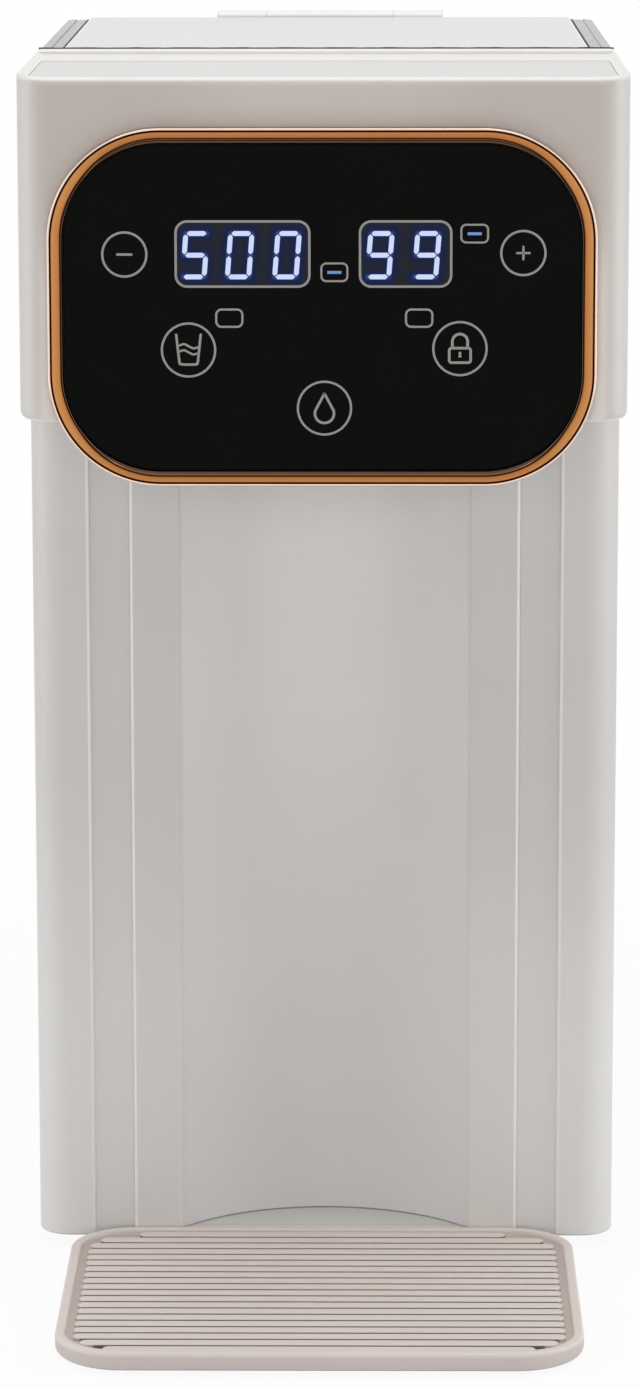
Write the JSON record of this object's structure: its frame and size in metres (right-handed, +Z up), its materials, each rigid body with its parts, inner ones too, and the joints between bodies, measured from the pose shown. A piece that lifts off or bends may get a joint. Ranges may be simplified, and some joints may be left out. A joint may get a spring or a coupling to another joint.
{
  "type": "instant hot water dispenser",
  "caption": "Slim countertop hot water dispenser: overhanging head with a touch panel, concave cup niche, ribbed drip tray, lift-off tank with hinged lid.",
  "frame": {"origin": "on the table, under the middle of the machine's overall width and depth", "axes": "+Z up, -Y towards the user, so the touch panel and the tray face -Y; +X is to the right as the user sees it"},
  "size_m": [0.175, 0.3414, 0.362],
  "materials": {
    "shell_plastic": "fine satin moulding",
    "tray_plastic": "satin moulding",
    "lid_plastic": "semi-gloss moulding",
    "smoked_plastic": "clear smoked moulding",
    "copper_trim": "copper-coloured anodised",
    "black_glass": "gloss black",
    "black_plastic": "satin",
    "white_plastic": "satin",
    "rubber": "matt",
    "silicone": "translucent matt",
    "steel": "drawn",
    "aluminium": "extruded",
    "board_green": "solder mask",
    "part_blue": "satin",
    "tape_yellow": "polyester tape"
  },
  "bodies": {
    "machine": {"body_shell": "shell_plastic", "bottom_pan": "shell_plastic", "niche_panel": "shell_plastic", "service_cover": "shell_plastic", "head_shell": "shell_plastic", "top_plate": "shell_plastic", "chin_cover": "shell_plastic", "panel_trim": "copper_trim", "panel_glass": "black_glass", "panel_frame": "black_plastic", "volume_display": "black_plastic", "temperature_display": "black_plastic", "thermal_cutout_1": "black_plastic", "thermal_cutout_2": "black_plastic", "pump_cover": "black_plastic", "pump_housing": "black_plastic", "gland_nut": "black_plastic", "spout": "white_plastic", "steam_separator": "white_plastic", "separator_lid": "white_plastic", "heater_lower_cap": "white_plastic", "heater_upper_cap": "white_plastic", "tank_socket": "white_plastic", "ribbon_cable": "white_plastic", "foot_1": "rubber", "foot_2": "rubber", "foot_3": "rubber", "foot_4": "rubber", "socket_seal": "rubber", "cord_gland": "rubber", "inlet_hose": "silicone", "riser_hose": "silicone", "outlet_hose": "silicone", "spout_hose": "silicone", "heater_tube": "steel", "heater_strap": "steel", "pump_motor": "steel", "heatsink": "aluminium", "display_board": "board_green", "power_board": "board_green", "relay": "part_blue", "transformer": "tape_yellow"},
    "tank": {"tank_shell": "smoked_plastic", "valve_body": "white_plastic", "valve_spring": "steel", "tank_filter": "white_plastic", "float_guide": "white_plastic", "hinge_pin": "steel"},
    "lid": {"tank_lid": "lid_plastic"},
    "valve": {"valve_poppet": "rubber"},
    "float": {"level_float": "white_plastic"},
    "pump_rotor": {"impeller": "white_plastic", "motor_shaft": "steel"},
    "tray": {"drip_tray": "tray_plastic", "tray_pad": "rubber"}
  },
  "joints": [
    {"name": "tank_lift", "type": "slide", "parent": "machine", "child": "tank", "axis": [0, 0, 1], "range_m": [0, 0.28]},
    {"name": "lid_hinge", "type": "hinge", "parent": "tank", "child": "lid", "pos_m": [0, 0.1678, 0.359], "axis": [-1, 0, 0], "range_deg": [0, 100]},
    {"name": "valve_slide", "type": "slide", "parent": "tank", "child": "valve", "axis": [0, 0, 1], "range_m": [0, 0.004], "stiffness_N_per_m": 150, "springref_m": -0.003, "deforming": ["valve_spring"]},
    {"name": "float_slide", "type": "slide", "parent": "tank", "child": "float", "axis": [0, 0, 1], "range_m": [0, 0.01]},
    {"name": "pump_spin", "type": "hinge", "parent": "machine", "child": "pump_rotor", "pos_m": [-0.045, 0.1145, 0.036], "axis": [0, 1, 0], "continuous": true},
    {"name": "tray_slide", "type": "slide", "parent": "machine", "child": "tray", "axis": [0, -1, 0], "range_m": [0, 0.14]}
  ]
}
